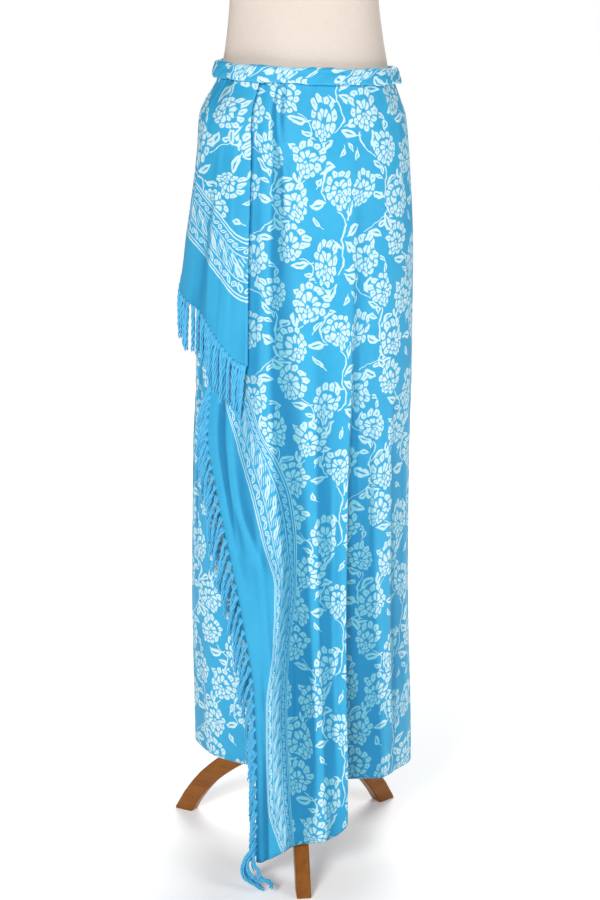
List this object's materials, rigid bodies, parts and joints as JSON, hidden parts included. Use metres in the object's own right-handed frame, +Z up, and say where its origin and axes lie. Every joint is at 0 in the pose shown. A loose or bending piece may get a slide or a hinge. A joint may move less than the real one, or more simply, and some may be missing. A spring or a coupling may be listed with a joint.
{
  "type": "batik sarong wrap on a dress form",
  "caption": "Long wrap of floral batik cloth with a rolled waist, a cascade at the front and fringed ends, worn by a padded dress form on a wooden stand.",
  "frame": {"origin": "on the floor, under the centre of the object's box", "axes": "+Z up, the front of the wrap towards -Y, +X towards the viewer's right, which is the wearer's left"},
  "size_m": [0.384, 0.3521, 1.8663],
  "materials": {
    "batik_rayon": "soft matt rayon, wax-resist floral",
    "fringe_rayon": "soft matt yarn, plain blue",
    "form_linen": "matt cream cloth cover",
    "stand_wood": "satin brown varnish"
  },
  "bodies": {
    "root": {"under_wrap": "batik_rayon", "front_wrap": "batik_rayon", "cascade_fall": "batik_rayon", "waist_roll": "batik_rayon", "fringe_upper": "fringe_rayon", "fringe_lower": "fringe_rayon", "form_torso": "form_linen", "neck_cap": "stand_wood", "pole_collar": "stand_wood", "stand_pole": "stand_wood", "stand_hub": "stand_wood", "stand_leg_front": "stand_wood", "stand_leg_right": "stand_wood", "stand_leg_left": "stand_wood"}
  },
  "joints": []
}
